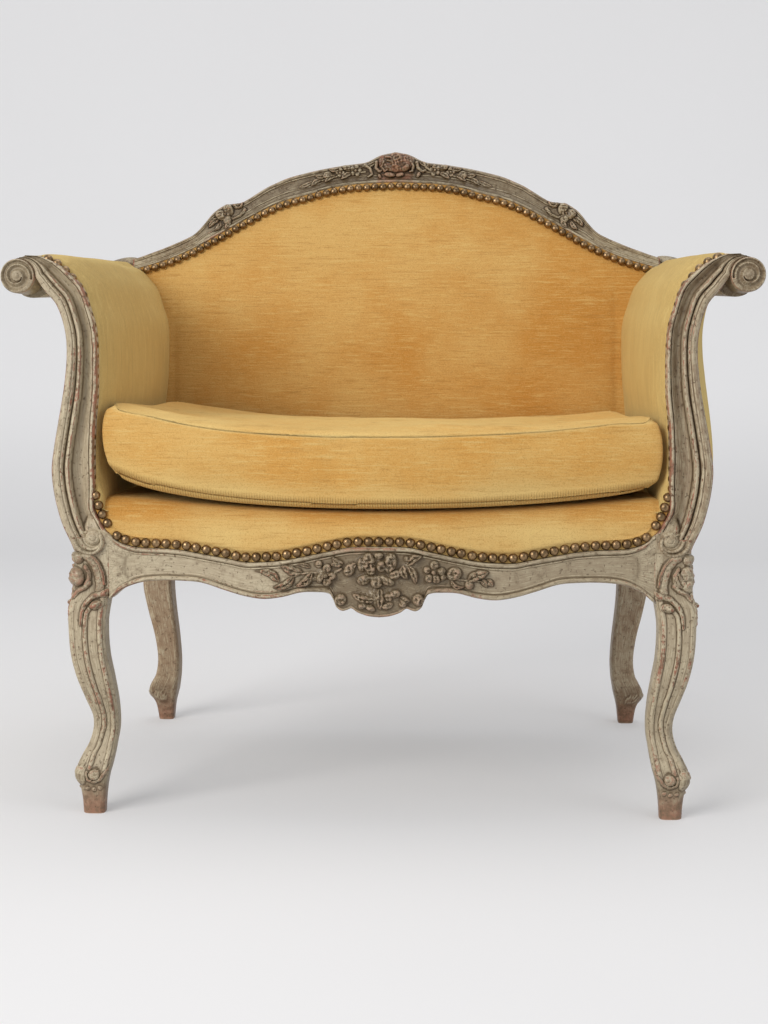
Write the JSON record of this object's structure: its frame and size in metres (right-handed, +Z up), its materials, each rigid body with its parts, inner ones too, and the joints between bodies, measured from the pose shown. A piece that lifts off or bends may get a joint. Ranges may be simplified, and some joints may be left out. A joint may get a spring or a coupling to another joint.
{
  "type": "upholstered armchair",
  "caption": "Wide closed-arm armchair with a carved painted frame, cabriole legs, out-scrolled arms, arched crest rail, velvet stuffing, domed nails and a loose seat cushion.",
  "frame": {"origin": "on the floor, under the middle of the chair's box", "axes": "+Z up, +Y towards the back, +X to the right-hand side as seen from the front"},
  "size_m": [0.952, 0.679, 0.9184],
  "materials": {
    "painted_wood": "aged matt grey-green paint, worn to red-brown at the edges",
    "bare_beech": "raw sawn beech",
    "velvet": "old gold strie velvet",
    "jute": "woven jute",
    "brass_nails": "antiqued brass"
  },
  "bodies": {
    "chair": {"front_leg_right": "painted_wood", "front_leg_left": "painted_wood", "rear_post_right": "painted_wood", "rear_post_left": "painted_wood", "side_rail_right": "painted_wood", "side_rail_left": "painted_wood", "arm_facing_right": "painted_wood", "arm_facing_left": "painted_wood", "arm_top_rail_right": "painted_wood", "arm_top_rail_left": "painted_wood", "shoulder_right": "painted_wood", "shoulder_left": "painted_wood", "arm_tacking_rail_right": "bare_beech", "arm_tacking_rail_left": "bare_beech", "front_corner_block_right": "bare_beech", "front_corner_block_left": "bare_beech", "rear_corner_block_right": "bare_beech", "rear_corner_block_left": "bare_beech", "front_rail_peg_right": "bare_beech", "front_rail_peg_left": "bare_beech", "side_rail_front_peg_right": "bare_beech", "side_rail_front_peg_left": "bare_beech", "side_rail_rear_peg_right": "bare_beech", "side_rail_rear_peg_left": "bare_beech", "rear_rail_peg_right": "bare_beech", "rear_rail_peg_left": "bare_beech", "facing_dowel_right": "bare_beech", "facing_dowel_left": "bare_beech", "arm_rail_dowel_right": "bare_beech", "arm_rail_dowel_left": "bare_beech", "arm_rail_end_dowel_right": "bare_beech", "arm_rail_end_dowel_left": "bare_beech", "stile_dowel_right": "bare_beech", "stile_dowel_left": "bare_beech", "shoulder_dowel_right": "bare_beech", "shoulder_dowel_left": "bare_beech", "arm_stuffing_right": "velvet", "arm_stuffing_left": "velvet", "arm_outside_cover_right": "velvet", "arm_outside_cover_left": "velvet", "arm_nails_right": "brass_nails", "arm_nails_left": "brass_nails", "front_rail": "painted_wood", "rear_rail": "painted_wood", "crest_rail": "painted_wood", "lower_back_rail": "bare_beech", "seat_webbing": "jute", "seat_hessian": "jute", "back_webbing": "jute", "back_hessian": "jute", "seat_deck": "velvet", "back_stuffing": "velvet", "back_outside_cover": "velvet", "seat_nails": "brass_nails", "crest_nails": "brass_nails"},
    "cushion": {"seat_cushion": "velvet"}
  },
  "joints": [
    {"name": "cushion_lift", "type": "slide", "parent": "chair", "child": "cushion", "axis": [0, 0, 1], "range_m": [0, 0.4]}
  ]
}
